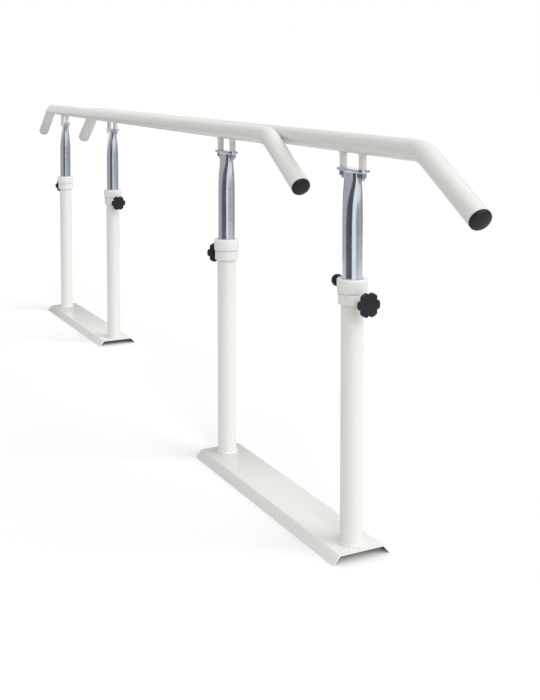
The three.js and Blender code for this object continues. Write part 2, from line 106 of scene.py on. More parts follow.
def tidy(bm: BMesh) -> BMesh:
    """Merges doubles and turns every face outwards.

    Args:
        bm: The mesh to change.

    Returns:
        The same bmesh.
    """
    bmesh.ops.remove_doubles(bm, verts=bm.verts, dist=MERGE_DISTANCE)
    bmesh.ops.recalc_face_normals(bm, faces=bm.faces)
    return bm


def face_up(bm: BMesh) -> None:
    """Turns an open shell over if its highest face looks down.

    Args:
        bm: The mesh to change.
    """
    top = max(bm.faces, key=lambda f: f.calc_center_median().z)
    if top.normal.z < 0:
        bmesh.ops.reverse_faces(bm, faces=bm.faces)


def spun(profile: Profile, sides: int = TUBE_SIDES) -> BMesh:
    """Turns a closed outline about Z.

    Args:
        profile: Points as (radius, height), in order. A first point on the axis leaves the
            outline open there.
        sides: How many faces go round.

    Returns:
        A closed bmesh with its faces outwards.
    """
    bm = bmesh.new()
    verts = [bm.verts.new((radius, 0, height)) for radius, height in profile]
    pairs = list(zip(verts, verts[1:]))
    if profile[0][0] > 0:
        pairs.append((verts[-1], verts[0]))
    edges = [bm.edges.new(pair) for pair in pairs]
    bmesh.ops.spin(
        bm, geom=verts + edges, cent=(0, 0, 0), axis=(0, 0, 1), dvec=(0, 0, 0),
        angle=2 * math.pi, steps=sides, use_merge=True, use_duplicate=False)
    return tidy(bm)


def drawn_out(bm: BMesh, edges: Sequence[BMEdge], way: Sequence[float]) -> list[BMEdge]:
    """Extrudes edges into faces.

    Args:
        bm: The mesh to change.
        edges: The edges to extrude.
        way: How far the new edges go, as a vector.

    Returns:
        The new edges at the faces' far side, and at their ends where the row isn't closed.
    """
    made = bmesh.ops.extrude_edge_only(bm, edges=edges)["geom"]
    bmesh.ops.translate(bm, verts=[v for v in made if isinstance(v, BMVert)], vec=way)
    return [e for e in made if isinstance(e, BMEdge) and e.is_boundary]


def bevelled(bm: BMesh, edges: Sequence[BMEdge], width: float, segments: int) -> BMesh:
    """Rounds some edges.

    Args:
        bm: The mesh to change.
        edges: The edges to round.
        width: Width of the bevel, in metres.
        segments: Faces across the bevel.

    Returns:
        The same bmesh.
    """
    bmesh.ops.bevel(
        bm, geom=edges, offset=width, offset_type="OFFSET", segments=segments, profile=0.5,
        affect="EDGES", clamp_overlap=True, material=-1)
    return bm


def soften(bm: BMesh, width: float, segments: int = 2, angle: float = 50) -> BMesh:
    """Rounds the edges whose faces meet at more than an angle.

    Args:
        bm: The mesh to change.
        width: Width of the bevel, in metres.
        segments: Faces across the bevel.
        angle: Least angle between the two faces, in degrees.

    Returns:
        The same bmesh.
    """
    limit = math.radians(angle)
    edges = [e for e in bm.edges if e.is_manifold and e.calc_face_angle() > limit]
    return bevelled(bm, edges, width, segments)


def turned(bm: BMesh, angle: float, axis: str = "Z") -> BMesh:
    """Turns the whole bmesh about an axis of the frame, by an angle in radians."""
    bmesh.ops.rotate(bm, verts=bm.verts, cent=(0, 0, 0), matrix=Matrix.Rotation(angle, 3, axis))
    return bm


def along_x(bm: BMesh) -> BMesh:
    """Lays a shape that stands about Z along X."""
    return turned(bm, math.pi / 2, "Y")


def moved(bm: BMesh, x: float = 0, y: float = 0, z: float = 0) -> BMesh:
    """Moves the whole bmesh."""
    bmesh.ops.translate(bm, verts=bm.verts, vec=(x, y, z))
    return bm


def rod(radius: float, start: float, end: float) -> BMesh:
    """Makes a plain closed rod about Z."""
    return spun([(0, start), (radius, start), (radius, end), (0, end)], SMALL_SIDES)


def cross_rod(radius: float, start: float, end: float, height: float) -> BMesh:
    """Makes a plain closed rod along X, at a height."""
    return moved(along_x(rod(radius, start, end)), z=height)


def ring(bore: float, radius: float, low: float, high: float, sides: int = TUBE_SIDES) -> BMesh:
    """Makes a plain ring or tube about Z."""
    return spun([(bore, low), (radius, low), (radius, high), (bore, high)], sides)


def meshed(name: str, bm: BMesh) -> Mesh:
    """Turns a bmesh into a mesh.

    Args:
        name: The mesh's name.
        bm: The bmesh. It is freed.

    Returns:
        The new mesh.
    """
    mesh = bpy.data.meshes.new(name)
    bm.to_mesh(mesh)
    bm.free()
    return mesh


def linked(name: str, data: ID) -> Object:
    """Puts an object that shows some data in the scene.

    Args:
        name: The object's name.
        data: Its mesh, camera or light.

    Returns:
        The new object.
    """
    thing = bpy.data.objects.new(name, data)
    bpy.context.scene.collection.objects.link(thing)
    return thing


def gathered(parts: Iterable[BMesh]) -> BMesh:
    """Puts several bmeshes into one.

    Args:
        parts: The bmeshes. They are freed.

    Returns:
        One bmesh with all of them.
    """
    whole = bmesh.new()
    for part in parts:
        holder = meshed("holder", part)
        whole.from_mesh(holder)
        bpy.data.meshes.remove(holder)
    return whole


def carved(bm: BMesh, tool: BMesh, cut: Cut) -> BMesh:
    """Applies an exact Boolean of one closed shape on another.

    Args:
        bm: The shape to change. It is freed.
        tool: The shape that cuts it or joins it. It is freed.
        cut: What the tool does.

    Returns:
        The resulting closed bmesh.
    """
    work, cutter = [linked(name, meshed(name, shape)) for name, shape in (("work", bm), ("tool", tool))]
    modifier = work.modifiers.new("cut", "BOOLEAN")
    modifier.operation = cut.value
    modifier.solver = "EXACT"
    modifier.object = cutter
    result = bmesh.new()
    result.from_object(work, bpy.context.evaluated_depsgraph_get())
    for thing in (work, cutter):
        mesh = thing.data
        bpy.data.objects.remove(thing)
        bpy.data.meshes.remove(mesh)
    return tidy(result)


# Node tools


@dataclass
class Graph:
    """Adds and links nodes in one node tree."""

    tree: NodeTree

    def add(self, kind: str, values: dict[str | int, Any] | None = None, **settings: Any) -> Node:
        """Adds a node.

        Args:
            kind: The node's type name.
            values: What goes into its inputs, as for feed.
            **settings: Properties of the node.

        Returns:
            The new node.
        """
        node = self.tree.nodes.new(kind)
        for name, value in settings.items():
            setattr(node, name, value)
        self.feed(node, values or {})
        return node

    def feed(self, node: Node, values: dict[str | int, Any]) -> None:
        """Fills some inputs of a node.

        Args:
            node: The node.
            values: For each input's name or number, a socket to link from or a value to hold.
        """
        for key, value in values.items():
            if isinstance(value, NodeSocket):
                self.tree.links.new(value, node.inputs[key])
            else:
                node.inputs[key].default_value = value

    def maths(self, operation: str, *values: Any, clamp: bool = False) -> NodeSocket:
        """Adds a Math node and returns its result."""
        values_by_input = dict(enumerate(values))
        return self.add("ShaderNodeMath", values_by_input, operation=operation, use_clamp=clamp).outputs[0]

    def noise(self, vector: Any, scale: Any, detail: float = 2, roughness: float = 0.5) -> NodeSocket:
        """Adds a noise texture and returns its factor."""
        values = {"Vector": vector, "Scale": scale, "Detail": detail, "Roughness": roughness}
        return self.add("ShaderNodeTexNoise", values).outputs["Fac"]

    def mix(self, factor: Any, one: Any, other: Any) -> NodeSocket:
        """Mixes two colours. A Mix node's colour sockets share their names, so they go by number."""
        values = {0: factor, 6: one, 7: other}
        return self.add("ShaderNodeMix", values, data_type="RGBA").outputs[2]

    def scaled(self, colour: Any, factor: Any) -> NodeSocket:
        """Brightens or darkens a colour by a factor and returns it."""
        values = {0: colour, "Scale": factor}
        return self.add("ShaderNodeVectorMath", values, operation="SCALE").outputs[0]

    def bump(self, height: NodeSocket, distance: float, strength: float) -> NodeSocket:
        """Adds a Bump node for a height and returns its normal."""
        values = {"Height": height, "Distance": distance, "Strength": strength}
        return self.add("ShaderNodeBump", values).outputs["Normal"]

    def place(self) -> NodeSocket:
        """Object coordinates, in metres."""
        return self.add("ShaderNodeTexCoord").outputs["Object"]

    def upward(self, vector: NodeSocket) -> NodeSocket:
        """The Z part of a vector."""
        return self.add("ShaderNodeSeparateXYZ", {0: vector}).outputs["Z"]

    def spread(self, value: Any, source: tuple[float, float], target: tuple[float, float]) -> NodeSocket:
        """Maps a value from one range to another, held at its ends.

        Args:
            value: The socket to map.
            source: The range that it comes in.
            target: The range that it goes out in.

        Returns:
            The mapped value.
        """
        values = {
            "Value": value, "From Min": source[0], "From Max": source[1],
            "To Min": target[0], "To Max": target[1]}
        return self.add("ShaderNodeMapRange", values, clamp=True).outputs["Result"]


NUMBER = "NodeSocketFloat"
COLOUR = "NodeSocketColor"


@dataclass(frozen=True)
class Effect:
    """A shader node group that finishes share: its inputs' defaults and its outputs' kinds."""

    name: str
    inputs: dict[str, Any]
    outputs: dict[str, str]
    make: Callable[[Graph, Sockets], Sockets]

    def build(self) -> NodeTree:
        """Makes the group on its first use.

        Returns:
            The group.
        """
        if self.name in bpy.data.node_groups:
            return bpy.data.node_groups[self.name]
        tree = bpy.data.node_groups.new(self.name, "ShaderNodeTree")
        for name, default in self.inputs.items():
            kind = COLOUR if isinstance(default, tuple) else NUMBER
            tree.interface.new_socket(name, in_out="INPUT", socket_type=kind).default_value = default
        for name, kind in self.outputs.items():
            tree.interface.new_socket(name, in_out="OUTPUT", socket_type=kind)
        graph = Graph(tree)
        source = graph.add("NodeGroupInput")
        target = graph.add("NodeGroupOutput")
        graph.feed(target, self.make(graph, {name: source.outputs[name] for name in self.inputs}))
        return tree

    def place(self, graph: Graph, **values: Any) -> Sockets:
        """Adds the group to a material's graph.

        Args:
            graph: The material's graph.
            **values: Input values by name, with _ for a space.

        Returns:
            The group's outputs by name.
        """
        node = graph.add("ShaderNodeGroup", node_tree=self.build())
        graph.feed(node, {name.replace("_", " "): value for name, value in values.items()})
        return {name: node.outputs[name] for name in self.outputs}


NOISE_MIDDLE = 0.5
DUST_SCALE = 60.0
DUST_BAND = (0.35, 0.75)
LOOKS_DOWN = -0.5
LINE_STRETCH = (1.0, 1.0, 0.012)
BROAD_LINE_SCALE = 130.0


def make_relief(graph: Graph, given: Sockets) -> Sockets:
    """Lays fine grain over slow waves, as a height.

    Args:
        graph: The group's graph.
        given: The group's inputs.

    Returns:
        The group's outputs.
    """
    place = graph.place()
    grain = graph.noise(place, given["Grain Scale"], detail=3)
    wave = graph.noise(place, given["Wave Scale"], detail=1)
    return {"Height": graph.maths("MULTIPLY_ADD", wave, given["Wave Share"], grain)}


def make_drift(graph: Graph, given: Sockets) -> Sockets:
    """Lets a colour and a roughness wander a little over the surface.

    Args:
        graph: The group's graph.
        given: The group's inputs.

    Returns:
        The group's outputs.
    """
    cloud = graph.noise(graph.place(), given["Scale"], detail=4, roughness=0.6)
    centred = graph.maths("SUBTRACT", cloud, NOISE_MIDDLE)
    factor = graph.maths("MULTIPLY_ADD", centred, given["Tone"], 1.0)
    roughness = graph.maths("MULTIPLY_ADD", centred, given["Gloss"], given["Roughness"], clamp=True)
    return {"Color": graph.scaled(given["Color"], factor), "Roughness": roughness}


def make_dust(graph: Graph, given: Sockets) -> Sockets:
    """Lays broken dust that thins out upwards from the floor, as a mask.

    Args:
        graph: The group's graph.
        given: The group's inputs.

    Returns:
        The group's outputs.
    """
    place = graph.place()
    fall = graph.maths("DIVIDE", graph.upward(place), given["Reach"], clamp=True)
    near = graph.maths("SUBTRACT", 1.0, fall)
    cloud = graph.noise(place, DUST_SCALE, detail=6, roughness=0.7)
    patches = graph.spread(cloud, DUST_BAND, (0.0, 1.0))
    return {"Mask": graph.maths("MULTIPLY", graph.maths("MULTIPLY", near, patches), given["Amount"])}


# Painted shade: a mask for the near-black colour that stands in for the shadow under the base plates.
def make_painted_underside_shade(graph: Graph, given: Sockets) -> Sockets:
    """Finds faces that look down within a reach of the floor, as a mask for painted shade.

    Args:
        graph: The group's graph.
        given: The group's inputs.

    Returns:
        The group's outputs.
    """
    normal = graph.add("ShaderNodeNewGeometry").outputs["True Normal"]
    down = graph.maths("LESS_THAN", graph.upward(normal), LOOKS_DOWN)
    low = graph.maths("LESS_THAN", graph.upward(graph.place()), given["Reach"])
    return {"Mask": graph.maths("MULTIPLY", down, low)}


def make_draw_lines(graph: Graph, given: Sockets) -> Sockets:
    """Draws long fine lines up a tube, as a value round one half.

    Args:
        graph: The group's graph.
        given: The group's inputs.

    Returns:
        The group's outputs.
    """
    stretch = graph.add("ShaderNodeMapping", {0: graph.place(), "Scale": LINE_STRETCH}).outputs[0]
    fine = graph.noise(stretch, given["Scale"], detail=3, roughness=0.6)
    broad = graph.noise(stretch, BROAD_LINE_SCALE, detail=1)
    return {"Value": graph.maths("MULTIPLY_ADD", broad, 0.5, graph.maths("MULTIPLY", fine, 0.5))}


RELIEF = Effect(
    "surface relief", {"Grain Scale": 800.0, "Wave Scale": 90.0, "Wave Share": 1.0},
    {"Height": NUMBER}, make_relief)
DRIFT = Effect(
    "tone drift",
    {"Color": (0.8, 0.8, 0.8, 1), "Tone": 0.05, "Scale": 4.0, "Roughness": 0.4, "Gloss": 0.1},
    {"Color": COLOUR, "Roughness": NUMBER}, make_drift)
DUST = Effect("floor dust", {"Reach": 0.1, "Amount": 0.3}, {"Mask": NUMBER}, make_dust)
# Painted shade under the base plates, from the mask above.
PAINTED_UNDERSIDE_SHADE = Effect("painted underside shade", {"Reach": 0.02}, {"Mask": NUMBER}, make_painted_underside_shade)
DRAW_LINES = Effect("draw lines", {"Scale": 900.0}, {"Value": NUMBER}, make_draw_lines)


# Finishes


def linear(red: int, green: int, blue: int) -> Colour:
    """Turns a screen colour into a linear one.

    Args:
        red: Its red, from 0 to 255.
        green: Its green.
        blue: Its blue.

    Returns:
        The linear colour, opaque.
    """
    def channel(value: int) -> float:
        """One channel, by the screen's curve."""
        share = value / 255
        return share / 12.92 if share <= 0.04045 else ((share + 0.055) / 1.055) ** 2.4
    return channel(red), channel(green), channel(blue), 1.0


def new_material(name: str) -> tuple[Material, Graph, Node]:
    """Makes a node material.

    Args:
        name: The material's name.

    Returns:
        The material, its graph and its Principled shader.
    """
    material = bpy.data.materials.new(name)
    material.use_nodes = True
    return material, Graph(material.node_tree), material.node_tree.nodes["Principled BSDF"]


@dataclass(frozen=True)
class PowderCoat:
    """Off-white powder coat: satin gloss over a faint orange peel, with a little floor dust, and painted
    shade in near-black on its low undersides.
    """

    name: str = "off_white_powder_coat"
    colour: Colour = linear(223, 224, 219)
    dust_colour: Colour = linear(176, 172, 160)
    # Near-black painted shade for faces that look down near the floor.
    painted_underside_shade_colour: Colour = linear(38, 38, 40)
    roughness: float = 0.26
    dust_roughness: float = 0.5

    def build(self) -> Material:
        """Makes the material.

        Returns:
            The material.
        """
        material, graph, shader = new_material(self.name)
        drift = DRIFT.place(
            graph, Color=self.colour, Tone=0.03, Scale=3.0, Roughness=self.roughness, Gloss=0.12)
        dust = DUST.place(graph, Reach=0.06, Amount=0.03)["Mask"]
        dusty = graph.mix(dust, drift["Color"], self.dust_colour)
        # Painted shade: the low undersides take the near-black colour in place of their shadow.
        painted_shade_mask = PAINTED_UNDERSIDE_SHADE.place(graph, Reach=0.02)["Mask"]
        peel = RELIEF.place(graph, Grain_Scale=750.0, Wave_Scale=210.0, Wave_Share=1.4)["Height"]
        graph.feed(shader, {
            "Base Color": graph.mix(painted_shade_mask, dusty, self.painted_underside_shade_colour),
            "Roughness": graph.maths(
                "MULTIPLY_ADD", dust, self.dust_roughness, drift["Roughness"], clamp=True),
            "Normal": graph.bump(peel, distance=0.00006, strength=0.6),
            "Specular IOR Level": 0.5})
        return material


@dataclass(frozen=True)
class ZincPlate:
    """Bright blue-white zinc on drawn steel: fine lines along the tube and a cloudy passivation."""

    name: str = "bright_zinc"
    colour: Colour = linear(210, 217, 226)
    roughness: float = 0.16
    line_band: tuple[float, float] = (0.35, 0.65)
    line_shades: tuple[float, float] = (0.9, 1.06)
    line_roughness: float = 0.12

    def build(self) -> Material:
        """Makes the material.

        Returns:
            The material.
        """
        material, graph, shader = new_material(self.name)
        drift = DRIFT.place(
            graph, Color=self.colour, Tone=0.22, Scale=26.0, Roughness=self.roughness, Gloss=0.14)
        lines = DRAW_LINES.place(graph, Scale=1100.0)["Value"]
        shade = graph.spread(lines, self.line_band, self.line_shades)
        rough = graph.maths("MULTIPLY_ADD", lines, self.line_roughness, drift["Roughness"])
        graph.feed(shader, {
            "Base Color": graph.scaled(drift["Color"], shade),
            "Roughness": graph.maths("SUBTRACT", rough, self.line_roughness / 2, clamp=True),
            "Normal": graph.bump(lines, distance=0.00004, strength=0.5),
            "Metallic": 1.0})
        return material


@dataclass(frozen=True)
class MouldedPlastic:
    """Moulded plastic with an even fine grain."""

    name: str
    colour: Colour
    roughness: float
    grain: float = 900.0
    depth: float = 0.00005
    tone: float = 0.05
    specular: float = 0.5

    def build(self) -> Material:
        """Makes the material.

        Returns:
            The material.
        """
        material, graph, shader = new_material(self.name)
        drift = DRIFT.place(
            graph, Color=self.colour, Tone=self.tone, Scale=14.0, Roughness=self.roughness, Gloss=0.14)
        grain = RELIEF.place(graph, Grain_Scale=self.grain, Wave_Scale=60.0, Wave_Share=0.6)["Height"]
        graph.feed(shader, {
            "Base Color": drift["Color"],
            "Roughness": drift["Roughness"],
            "Normal": graph.bump(grain, distance=self.depth, strength=0.7),
            "Specular IOR Level": self.specular})
        return material


@dataclass(frozen=True)
class TurnedMetal:
    """Plain turned metal for the small hidden pieces."""

    name: str
    colour: Colour
    roughness: float = 0.3

    def build(self) -> Material:
        """Makes the material.

        Returns:
            The material.
        """
        material, graph, shader = new_material(self.name)
        drift = DRIFT.place(
            graph, Color=self.colour, Tone=0.25, Scale=90.0, Roughness=self.roughness, Gloss=0.2)
        graph.feed(shader, {
            "Base Color": drift["Color"], "Roughness": drift["Roughness"], "Metallic": 1.0})
        return material


Finish = PowderCoat | ZincPlate | MouldedPlastic | TurnedMetal

FINISHES: dict[Slot, Finish] = {
    Slot.PAINT: PowderCoat(),
    Slot.NYLON: MouldedPlastic("white_nylon", linear(227, 229, 227), roughness=0.42),
    Slot.ZINC: ZincPlate(),
    Slot.BLACK: MouldedPlastic(
        "black_moulded_plastic", linear(29, 27, 35), roughness=0.46, depth=0.00012, tone=0.3,
        specular=0.28),
    Slot.BRASS: TurnedMetal("brass", linear(190, 160, 92)),
    Slot.SPRING: TurnedMetal("spring_wire", linear(150, 154, 160)),
}

# A darker copy of the same coat for the rails and their posts: painted shade.
SHADED_RAIL_COAT = PowderCoat("shaded_rail_powder_coat", linear(218, 217, 213))


@dataclass
class Workshop:
    """Dresses pieces: gives each its finish, its body and the CAD node it stands for."""

    bodies: dict[str, str] = field(init=False)
    materials: dict[Slot, Material] = field(init=False)
    shaded_rail_coat: Material = field(init=False)

    def __post_init__(self) -> None:
        """Notes each node's body and builds every finish once."""
        groups = frame["record"]["behaviour"]["bodies"]
        self.bodies = {node: body for body, nodes in groups.items() for node in nodes}
        self.materials = {slot: finish.build() for slot, finish in FINISHES.items()}
        # The rails' darker copy of the coat, painted shade.
        self.shaded_rail_coat = SHADED_RAIL_COAT.build()

    def piece(
            self, name: str, bm: BMesh, slot: Slot, node: str | None = None,
            material: Material | None = None) -> Object:
        """Turns a bmesh into a piece that stands for a CAD node.

        Args:
            name: The piece's name.
            bm: Its shape, in place. It is freed.
            slot: The record's slot that its finish comes from.
            node: The CAD node it replaces, if that isn't called as the piece.
            material: Its finish, where that isn't the slot's own.

        Returns:
            The new object.
        """
        mesh = meshed(name, bm)
        mesh.shade_smooth()
        mesh.set_sharp_from_angle(angle=SHARP_ANGLE)
        mesh.materials.append(material or self.materials[slot])
        thing = linked(name, mesh)
        replaced = node or name
        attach(thing, self.bodies[replaced])
        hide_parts(replaced)
        LOG.info("%s: %d faces, for %s", name, len(mesh.polygons), replaced)
        return thing

    def dress_node(self, node: str, slot: Slot) -> None:
        """Gives a CAD node that stays in view a finish.

        Args:
            node: The node's name.
            slot: The slot that the finish comes from.
        """
        for holder in frame["nodes"][node].material_slots:
            holder.material = self.materials[slot]
        LOG.info("%s: CAD node kept, %s", node, slot.value)


@dataclass(frozen=True)
class Upright:
    """Where one of the four uprights stands, and which way its clamp faces."""

    name: str
    x: float
    y: float
    facing: float

    def facing_out(self, bm: BMesh) -> BMesh:
        """Turns a shape to the clamp's facing and sets it on this upright's axis."""
        return moved(turned(bm, self.facing), self.x, self.y)

    def under_rail(self, bm: BMesh) -> BMesh:
        """Sets a shape that keeps to the rail's direction on this upright's axis."""
        return moved(bm, self.x, self.y)


def find_uprights() -> dict[str, Upright]:
    """Reads the four uprights' places from their outer tubes in the frame.

    Returns:
        Each upright by its name, such as near_right.
    """
    places = {}
    for end in ("near", "far"):
        for side in ("right", "left"):
            low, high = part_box(f"{end}_{side}_outer_tube")
            places[f"{end}_{side}"] = (low + high) / 2
    uprights = {}
    for name, place in places.items():
        end, side = name.split("_")
        across = place - places[f"{end}_{'left' if side == 'right' else 'right'}"]
        uprights[name] = Upright(name, place.x, place.y, math.atan2(across.y, across.x))
    return uprights


# Sub-assemblies


@dataclass
class SharedSizes:
    """Sizes that more than one sub-assembly keeps to, and the thread that they share."""

    thread_radius: float = 5 * MM
    thread_depth: float = 0.9 * MM
    thread_pitch: float = 1.5 * MM
    thread_hole: float = 5.3 * MM
    clamp_height: float = 561 * MM
    plunger_height: float = 593 * MM
    plunger_hole: float = 7.8 * MM
    strap_bottom: float = 842 * MM
    strap_top: float = 848 * MM
    post_offset: float = 45 * MM

    def threaded(self, start: float, end: float) -> BMesh:
        """Makes a threaded rod about Z, with ring grooves for the thread.

        Args:
            start: Height of its lower end.
            end: Height of its upper end.

        Returns:
            The rod, as thin as the grooves at its ends.
        """
        root = self.thread_radius - self.thread_depth
        half = self.thread_pitch / 2
        flat = self.thread_pitch / 8
        points = [(0.0, start), (root, start)]
        crest = start + half
        while crest < end - half:
            points += [
                (self.thread_radius, crest), (self.thread_radius, crest + flat), (root, crest + half)]
            crest += self.thread_pitch
        return spun([*points, (root, end), (0.0, end)], FINE_SIDES)


@dataclass
class BasePlate:
    """Folded sheet under two uprights: flat top, two sloping skirts, open ends."""

    height: float = 20 * MM
    half_top: float = 56 * MM
    skirt: float = 18 * MM
    sheet: float = 3 * MM
    bend: float = 6 * MM
    bend_steps: int = 8
    overhang: float = 45 * MM
    edge: float = 0.35 * MM

    def build(self, shop: Workshop, end: str, right: Upright, left: Upright) -> None:
        """Makes the plate of one end.

        Args:
            shop: What dresses the piece.
            end: Which end it is, near or far.
            right: The right upright that stands on it.
            left: The left upright that stands on it.
        """
        spacing = math.hypot(right.x - left.x, right.y - left.y)
        bm = turned(self.folded(spacing + 2 * self.overhang), right.facing)
        moved(bm, (right.x + left.x) / 2, (right.y + left.y) / 2)
        shop.piece(f"{end}_base_plate", bm, Slot.PAINT)

    def folded(self, length: float) -> BMesh:
        """Folds the sheet along X, and trims its skirts level with the floor.

        Args:
            length: From one open end to the other.

        Returns:
            The plate, with its middle over the origin.
        """
        reach = self.half_top + self.skirt
        outline = [(-reach, 0), (-self.half_top, self.height), (self.half_top, self.height), (reach, 0)]
        bm = bmesh.new()
        verts = [bm.verts.new((-length / 2, y, z)) for y, z in outline]
        drawn_out(bm, [bm.edges.new(pair) for pair in zip(verts, verts[1:])], (length, 0, 0))
        bmesh.ops.recalc_face_normals(bm, faces=bm.faces)
        face_up(bm)
        corner = math.atan2(self.height, self.skirt)
        bends = [e for e in bm.edges if e.is_manifold]
        bevelled(bm, bends, self.bend * math.tan(corner / 2), self.bend_steps)
        bmesh.ops.solidify(bm, geom=bm.faces[:], thickness=self.sheet)
        bmesh.ops.bisect_plane(
            bm, geom=bm.verts[:] + bm.edges[:] + bm.faces[:], plane_co=(0, 0, 0), plane_no=(0, 0, -1),
            clear_outer=True)
        bmesh.ops.holes_fill(bm, edges=[e for e in bm.edges if e.is_boundary], sides=0)
        return soften(tidy(bm), self.edge, angle=60)


@dataclass
class OuterUpright(SharedSizes):
    """Fixed lower tube with the weld at its foot.

    Each slow wave of the weld is a share of its full size, a count round the tube and a phase, and
    each lump is an angle about the tube, in radians.
    """

    foot: float = 20 * MM
    top: float = 602.7 * MM
    radius: float = 25.3 * MM
    bore: float = 23.3 * MM
    weld_root: float = 0.5 * MM
    weld_width: float = 4.5 * MM
    weld_height: float = 6 * MM
    weld_bulge: float = 0.18
    weld_steps: int = 6
    weld_sides: int = 312
    least_share: float = 0.55
    blobs: int = 17
    blob_share: float = 0.09
    blob_drift: float = 1.4
    waves: tuple[tuple[float, int, float], ...] = ((0.07, 5, 1.0), (0.04, 9, 0.4))
    lumps: tuple[float, float] = (0.3, -1.85)
    lump_share: float = 0.3
    lump_power: int = 24

    def build(self, shop: Workshop, upright: Upright) -> None:
        """Makes the tube and the weld of one upright.

        Args:
            shop: What dresses the pieces.
            upright: Which upright it is.
        """
        name = f"{upright.name}_outer_tube"
        wall = ring(self.bore, self.radius, self.foot, self.top)
        reach = self.radius * CUTTER_REACH
        wall = carved(wall, cross_rod(self.thread_hole, 0, reach, self.clamp_height), Cut.AWAY)
        if upright.name == "near_right":
            wall = carved(wall, cross_rod(self.plunger_hole, -reach, 0, self.plunger_height), Cut.AWAY)
        shop.piece(f"{name}_wall", upright.facing_out(wall), Slot.PAINT, name)
        shop.piece(f"{name}_weld", upright.facing_out(self.weld()), Slot.PAINT, name)

    def fullness(self, turn: float) -> float:
        """Finds how full the bead is: small blobs, slow waves and two larger lumps.

        Args:
            turn: Angle about the tube, in radians.

        Returns:
            The share of the full bead.
        """
        blob = 0.5 + 0.5 * math.cos(self.blobs * turn + self.blob_drift * math.sin(2 * turn))
        uneven = sum(size * math.sin(count * turn + phase) for size, count, phase in self.waves)
        lump = sum(max(0.0, math.cos(turn - middle)) ** self.lump_power for middle in self.lumps)
        return self.least_share + self.blob_share * blob + uneven + self.lump_share * lump

    def weld(self) -> BMesh:
        """Makes the painted bead round the foot.

        Returns:
            The bead about the tube's axis.
        """
        inside = self.radius - self.weld_root
        arc = []
        for i in range(self.weld_steps + 1):
            angle = math.pi / 2 * i / self.weld_steps
            bulge = 1 + self.weld_bulge * math.sin(2 * angle)
            arc.append((
                self.radius + self.weld_width * math.cos(angle) * bulge,
                self.foot + self.weld_height * math.sin(angle) * bulge))
        bm = spun([(inside, self.foot), *arc, (inside, self.foot + self.weld_height)], self.weld_sides)
        for vert in bm.verts:
            place = vert.co
            distance = math.hypot(place.x, place.y)
            away = distance - self.radius
            if away <= 0:
                continue
            share = self.fullness(math.atan2(place.y, place.x))
            out = (self.radius + away * share) / distance
            vert.co = (place.x * out, place.y * out, self.foot + (place.z - self.foot) * share)
        return tidy(bm)


@dataclass
class TubeHead(SharedSizes):
    """Collar on the outer tube, with its threaded boss, and the plastic bushing above it."""

    bottom: float = 552 * MM
    joint: float = 576 * MM
    top: float = 608 * MM
    seat: float = 25.6 * MM
    collar_radius: float = 31.6 * MM
    boss: float = 9 * MM
    boss_end: float = 44.1 * MM
    bushing_radius: float = 34.4 * MM
    draft: float = 0.9 * MM
    straight: float = 6 * MM
    crown: float = 3.2 * MM
    crown_steps: int = 6
    groove: float = 1.6 * MM
    groove_radius: float = 29.8 * MM
    bore: float = 23 * MM
    lid: float = 5 * MM

    def build(self, shop: Workshop, upright: Upright) -> None:
        """Makes the collar and the bushing of one upright.

        Args:
            shop: What dresses the pieces.
            upright: Which upright it is.
        """
        shop.piece(f"{upright.name}_collar", upright.facing_out(self.collar()), Slot.PAINT)
        cap = self.bushing(upright.name == "near_right")
        shop.piece(f"{upright.name}_bushing", upright.facing_out(cap), Slot.NYLON)

    def collar(self) -> BMesh:
        """Makes the ring with the boss on its +X side.

        Returns:
            The collar about the tube's axis.
        """
        band = soften(
            ring(self.seat, self.collar_radius, self.bottom, self.joint), width=0.8 * MM, segments=3)
        start = (self.seat + self.collar_radius) / 2
        boss = soften(rod(self.boss, start, self.boss_end), width=0.7 * MM, segments=3)
        whole = carved(band, moved(along_x(boss), z=self.clamp_height), Cut.TOGETHER)
        hole = cross_rod(self.thread_hole, 0, self.boss_end * CUTTER_REACH, self.clamp_height)
        return carved(whole, hole, Cut.AWAY)

    def bushing(self, has_plunger: bool) -> BMesh:
        """Makes the slightly conical cap with a rounded top edge, over a fine groove at the collar.

        Args:
            has_plunger: Whether it has the plunger's hole.

        Returns:
            The bushing about the tube's axis.
        """
        ceiling = self.top - self.lid
        lip = self.joint + self.groove
        cap = spun([
            (self.seat, self.joint), (self.groove_radius, self.joint), (self.groove_radius, lip),
            (self.bushing_radius - self.draft, lip), (self.bushing_radius, self.top - self.straight),
            (self.bushing_radius, self.top), (self.bore, self.top), (self.bore, ceiling),
            (self.seat, ceiling)])
        rim = [e for e in cap.edges if all(
            abs(v.co.z - self.top) < MERGE_DISTANCE and v.co.xy.length > self.seat for v in e.verts)]
        bevelled(cap, rim, self.crown, self.crown_steps)
        soften(cap, width=0.5 * MM, angle=60)
        if has_plunger:
            reach = self.bushing_radius * CUTTER_REACH
            cap = carved(cap, cross_rod(self.plunger_hole, -reach, 0, self.plunger_height), Cut.AWAY)
        return cap


